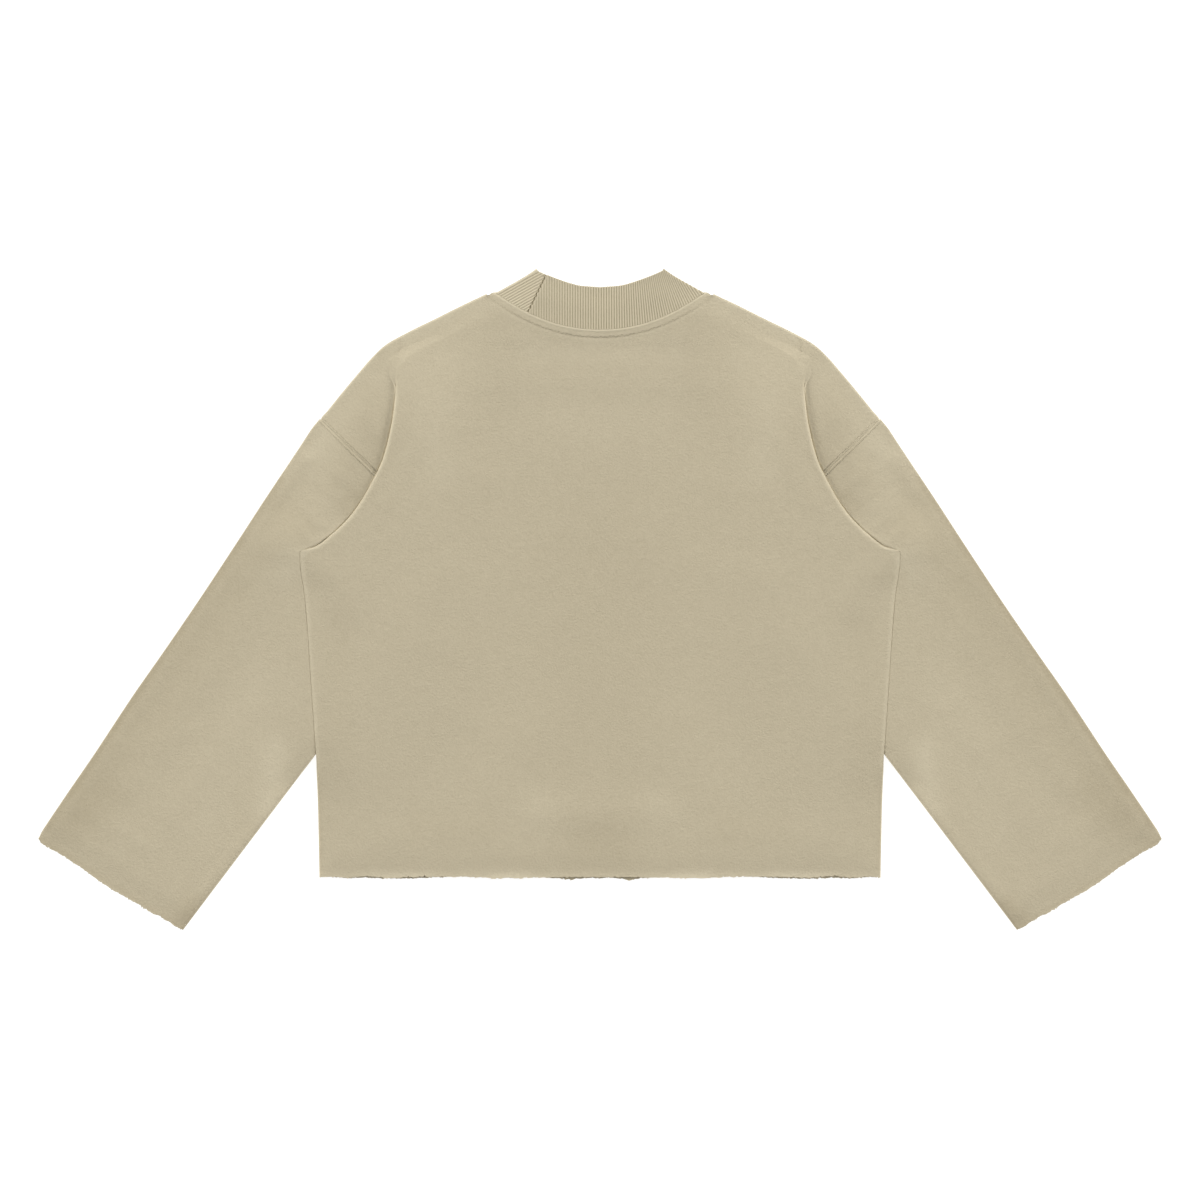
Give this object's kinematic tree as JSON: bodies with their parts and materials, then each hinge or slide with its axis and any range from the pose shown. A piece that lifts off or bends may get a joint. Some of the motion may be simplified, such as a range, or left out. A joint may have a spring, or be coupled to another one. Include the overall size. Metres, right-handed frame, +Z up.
{
  "type": "mock neck sweatshirt",
  "caption": "Cropped boxy sweatshirt with a ribbed mock neck, dropped shoulders and wide raw-cut sleeves, laid flat with its back upwards.",
  "frame": {"origin": "centre of the garment's outline, on the surface it lies on", "axes": "+X to the right across the garment as its back is seen, +Y from hem to neck, +Z up from the surface, out of the back"},
  "size_m": [1.121, 0.6592, 0.0111],
  "materials": {
    "fleece": "matte brushed cotton loopback, khaki beige",
    "rib": "matte one by one cotton rib, khaki beige"
  },
  "bodies": {
    "root": {"front": "fleece", "back": "fleece", "sleeve_left": "fleece", "sleeve_right": "fleece", "collar": "rib"}
  },
  "joints": []
}
